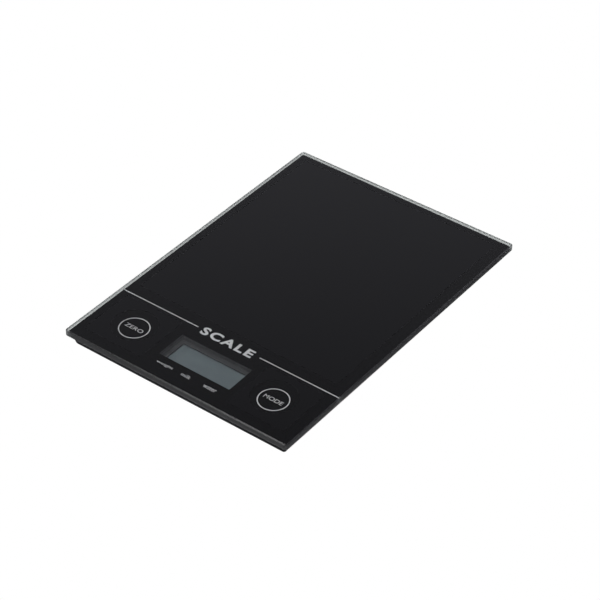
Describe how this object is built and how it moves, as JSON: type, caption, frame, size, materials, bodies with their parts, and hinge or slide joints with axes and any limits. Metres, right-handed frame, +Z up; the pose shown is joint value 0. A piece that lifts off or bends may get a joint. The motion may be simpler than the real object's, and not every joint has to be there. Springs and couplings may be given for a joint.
{
  "type": "kitchen scale",
  "caption": "Slim rectangular kitchen scale: a clear, black-backed glass platform on a dished black tray with round feet; it weighs food.",
  "frame": {"origin": "on the worktop plane under the feet, below the middle of the glass platform", "axes": "+Z up out of the glass, +Y from the display end to the far end, +X to the right of a person who reads the display"},
  "size_m": [0.14, 0.2, 0.0165],
  "materials": {
    "tempered_glass": "polished clear tempered glass printed black on its underside",
    "foam_tape": "black closed-cell foam tape",
    "tray_abs": "black moulded ABS, fine spark texture",
    "circuit_laminate": "green solder mask on glass-epoxy laminate",
    "ceramic_chip": "fired ceramic chip parts with tinned ends",
    "epoxy_blob": "black potting epoxy",
    "zinc_screw": "bright zinc-plated steel",
    "frame_abs": "dark grey moulded ABS",
    "gasket_foam": "black foam",
    "polariser_film": "grey polarising film",
    "display_glass": "thin clear glass",
    "reflector_film": "diffuse reflecting film",
    "zebra_rubber": "banded conductive silicone",
    "copper_electrode": "copper foil on foam",
    "grey_wire": "PVC-covered wire",
    "plated_spring": "nickel-plated spring metal",
    "black_wire": "PVC-covered wire",
    "red_wire": "PVC-covered wire",
    "coin_steel": "nickel-plated steel case",
    "door_abs": "black moulded ABS, fine spark texture",
    "button_abs": "grey moulded ABS",
    "foot_abs": "black moulded ABS",
    "pad_rubber": "moulded non-slip rubber",
    "cell_steel": "stamped spring steel",
    "gauge_sealant": "white silicone over the gauge foil"
  },
  "bodies": {
    "base": {"glass_platform": "tempered_glass", "bonding_tape": "foam_tape", "housing_tray": "tray_abs", "glass_support_pads": "foam_tape", "main_board": "circuit_laminate", "board_components": "ceramic_chip", "controller_chip": "epoxy_blob", "board_screws": "zinc_screw", "lcd_frame": "frame_abs", "lcd_gasket": "gasket_foam", "lcd_front_polariser": "polariser_film", "lcd_front_glass": "display_glass", "lcd_rear_glass": "display_glass", "lcd_reflector": "reflector_film", "zebra_connector": "zebra_rubber", "touch_pad_zero": "copper_electrode", "touch_pad_mode": "copper_electrode", "touch_lead_zero": "grey_wire", "touch_lead_mode": "grey_wire", "battery_contact_negative": "plated_spring", "battery_contact_positive": "plated_spring", "battery_lead_negative": "black_wire", "battery_lead_positive": "red_wire", "unit_switch_dome": "plated_spring", "load_cell_screws": "zinc_screw", "foot_front_left": "foot_abs", "foot_pad_front_left": "pad_rubber", "load_cell_front_left": "cell_steel", "strain_gauge_front_left": "gauge_sealant", "cell_leads_front_left": "red_wire", "foot_front_right": "foot_abs", "foot_pad_front_right": "pad_rubber", "load_cell_front_right": "cell_steel", "strain_gauge_front_right": "gauge_sealant", "cell_leads_front_right": "red_wire", "foot_rear_left": "foot_abs", "foot_pad_rear_left": "pad_rubber", "load_cell_rear_left": "cell_steel", "strain_gauge_rear_left": "gauge_sealant", "cell_leads_rear_left": "red_wire", "foot_rear_right": "foot_abs", "foot_pad_rear_right": "pad_rubber", "load_cell_rear_right": "cell_steel", "strain_gauge_rear_right": "gauge_sealant", "cell_leads_rear_right": "red_wire"},
    "battery_door": {"battery_door": "door_abs"},
    "coin_battery": {"coin_battery": "coin_steel"},
    "unit_button": {"unit_button": "button_abs"}
  },
  "joints": [
    {"name": "unit_button_press", "type": "slide", "parent": "base", "child": "unit_button", "axis": [0, 0, 1], "range_m": [0, 0.00025], "stiffness_N_per_m": 4000, "deforming": ["unit_switch_dome"]},
    {"name": "battery_door_hinge", "type": "hinge", "parent": "base", "child": "battery_door", "pos_m": [0, -0.0088, 0.0036], "axis": [1, 0, 0], "range_deg": [0, 100]},
    {"name": "coin_battery_lift", "type": "slide", "parent": "base", "child": "coin_battery", "axis": [0, 0, -1], "range_m": [0, 0.008]}
  ],
  "couplings": [
    {"joint": "coin_battery_lift", "follows": "battery_door_hinge", "m_per_rad": 0.0045}
  ]
}
